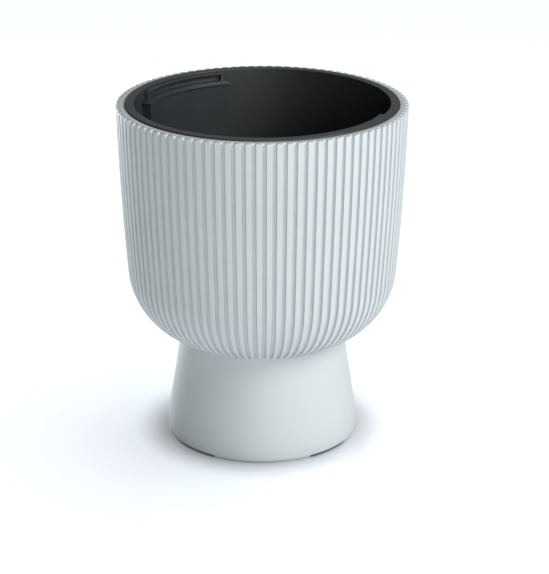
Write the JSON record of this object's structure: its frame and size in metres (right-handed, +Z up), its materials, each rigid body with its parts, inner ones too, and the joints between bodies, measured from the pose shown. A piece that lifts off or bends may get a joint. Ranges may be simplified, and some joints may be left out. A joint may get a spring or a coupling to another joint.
{
  "type": "self watering planter",
  "caption": "Round ribbed plant pot on a conical foot, with a dark lift-out insert whose wick cups draw water from the reservoir in the bowl.",
  "frame": {"origin": "centre of the ring that the foot stands on, at floor level", "axes": "+Z up along the pot's axis, the front is -Y"},
  "size_m": [0.3, 0.3, 0.3628],
  "materials": {
    "pot_plastic": "fine matte moulded, cool white",
    "foot_plastic": "fine matte moulded, cool white",
    "insert_plastic": "satin moulded, anthracite",
    "grate_plastic": "matte moulded, anthracite",
    "cup_plastic": "matte moulded, anthracite",
    "wick_felt": "needled felt, undyed",
    "plug_plastic": "matte moulded",
    "seal_rubber": "soft black",
    "screw_steel": "zinc plated"
  },
  "bodies": {
    "pot": {"outer_bowl": "pot_plastic", "foot_cone": "foot_plastic", "foot_screws": "screw_steel"},
    "insert": {"insert_liner": "insert_plastic", "insert_grip_1": "insert_plastic", "insert_grip_2": "insert_plastic", "wick_cup_1": "cup_plastic", "wick_cup_2": "cup_plastic", "wick_cup_3": "cup_plastic", "wick_cup_4": "cup_plastic", "wick_1": "wick_felt", "wick_2": "wick_felt", "wick_3": "wick_felt", "wick_4": "wick_felt"},
    "grate": {"soil_grate": "grate_plastic"},
    "plug": {"drain_plug": "plug_plastic", "plug_seal": "seal_rubber"}
  },
  "joints": [
    {"name": "insert_lift", "type": "slide", "parent": "pot", "child": "insert", "axis": [0, 0, 1], "range_m": [0, 0.26]},
    {"name": "grate_lift", "type": "slide", "parent": "insert", "child": "grate", "axis": [0, 0, 1], "range_m": [0, 0.2]},
    {"name": "plug_pull", "type": "slide", "parent": "pot", "child": "plug", "axis": [0, 0, -1], "range_m": [0, 0.08]}
  ]
}
